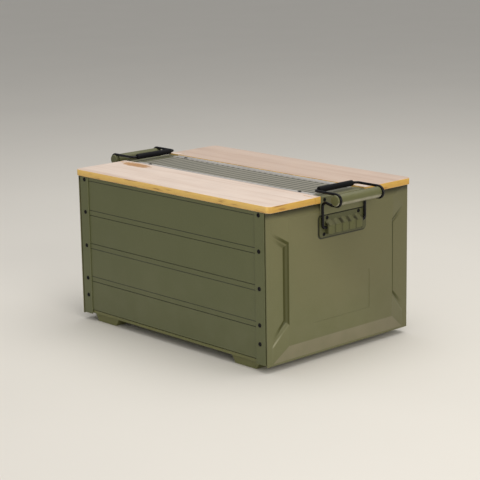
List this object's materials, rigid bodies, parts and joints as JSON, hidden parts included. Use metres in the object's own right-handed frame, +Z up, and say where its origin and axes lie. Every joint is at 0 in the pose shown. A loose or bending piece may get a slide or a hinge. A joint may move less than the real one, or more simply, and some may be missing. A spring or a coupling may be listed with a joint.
{
  "type": "collapsible storage box",
  "caption": "Collapsible storage box with folding slatted sides, stamped ends, hinged bamboo lid boards and latching wire carry handles.",
  "frame": {"origin": "on the ground under the middle of the box", "axes": "+X along the long sides towards one carry handle, +Y towards the back long side, +Z up"},
  "size_m": [0.6466, 0.3736, 0.316],
  "materials": {
    "olive_coat": "fine textured olive powder coat on sheet",
    "olive_feet": "olive powder coat on folded sheet",
    "olive_tube": "olive powder coat on tube",
    "bamboo": "oiled bamboo board, paler on top, golden at the edges",
    "bright_rail": "satin anodised extrusion",
    "ribbed_tread": "grey-olive coated ribbed sheet",
    "black_screws": "black oxide",
    "black_wire": "black satin coat on round steel wire",
    "grip_rubber": "matt black rubber",
    "steel_pins": "plain steel pins and hinge leaves"
  },
  "bodies": {
    "frame": {"back_board_rod": "steel_pins", "back_fold_lugs": "steel_pins", "back_fold_rod": "steel_pins", "back_left_foot": "olive_feet", "back_rail": "bright_rail", "back_right_foot": "olive_feet", "base_tray": "olive_coat", "foot_screws": "black_screws", "front_board_rod": "steel_pins", "front_fold_lugs": "steel_pins", "front_fold_rod": "steel_pins", "front_left_foot": "olive_feet", "front_rail": "bright_rail", "front_right_foot": "olive_feet", "left_bracket_screws": "black_screws", "left_end_panel": "olive_coat", "left_latch_block": "olive_coat", "left_latch_plate": "olive_coat", "left_latch_screws": "black_screws", "left_lid_blocks": "bamboo", "left_lid_bracket": "olive_coat", "lid_beam": "olive_coat", "lid_tread": "ribbed_tread", "rail_screws": "black_screws", "right_bracket_screws": "black_screws", "right_end_panel": "olive_coat", "right_latch_block": "olive_coat", "right_latch_plate": "olive_coat", "right_latch_screws": "black_screws", "right_lid_blocks": "bamboo", "right_lid_bracket": "olive_coat"},
    "front_side": {"front_fold_leaf": "steel_pins", "front_left_post": "olive_coat", "front_post_screws": "black_screws", "front_right_post": "olive_coat", "front_slat_1": "olive_coat", "front_slat_2": "olive_coat", "front_slat_3": "olive_coat", "front_slat_4": "olive_coat"},
    "back_side": {"back_fold_leaf": "steel_pins", "back_left_post": "olive_coat", "back_post_screws": "black_screws", "back_right_post": "olive_coat", "back_slat_1": "olive_coat", "back_slat_2": "olive_coat", "back_slat_3": "olive_coat", "back_slat_4": "olive_coat"},
    "front_lid_board": {"front_board": "bamboo", "front_board_leaf": "bright_rail"},
    "back_lid_board": {"back_board": "bamboo", "back_board_leaf": "bright_rail"},
    "right_handle": {"right_handle_grip": "grip_rubber", "right_handle_tube": "olive_tube", "right_handle_tube_caps": "olive_tube", "right_handle_wire": "black_wire"},
    "left_handle": {"left_handle_grip": "grip_rubber", "left_handle_tube": "olive_tube", "left_handle_tube_caps": "olive_tube", "left_handle_wire": "black_wire"}
  },
  "joints": [
    {"name": "front_side_fold", "type": "hinge", "parent": "frame", "child": "front_side", "pos_m": [0, -0.1775, 0.0315], "axis": [-1, 0, 0], "range_deg": [0, 90]},
    {"name": "back_side_fold", "type": "hinge", "parent": "frame", "child": "back_side", "pos_m": [0, 0.1775, 0.0485], "axis": [1, 0, 0], "range_deg": [0, 90]},
    {"name": "front_board_lift", "type": "hinge", "parent": "frame", "child": "front_lid_board", "pos_m": [0, -0.0542, 0.3002], "axis": [-1, 0, 0], "range_deg": [0, 100]},
    {"name": "back_board_lift", "type": "hinge", "parent": "frame", "child": "back_lid_board", "pos_m": [0, 0.0542, 0.3002], "axis": [1, 0, 0], "range_deg": [0, 100]},
    {"name": "right_handle_swing", "type": "hinge", "parent": "frame", "child": "right_handle", "pos_m": [0.276, 0, 0.245], "axis": [0, 1, 0], "range_deg": [0, 130]},
    {"name": "left_handle_swing", "type": "hinge", "parent": "frame", "child": "left_handle", "pos_m": [-0.276, 0, 0.245], "axis": [0, -1, 0], "range_deg": [0, 130]}
  ]
}
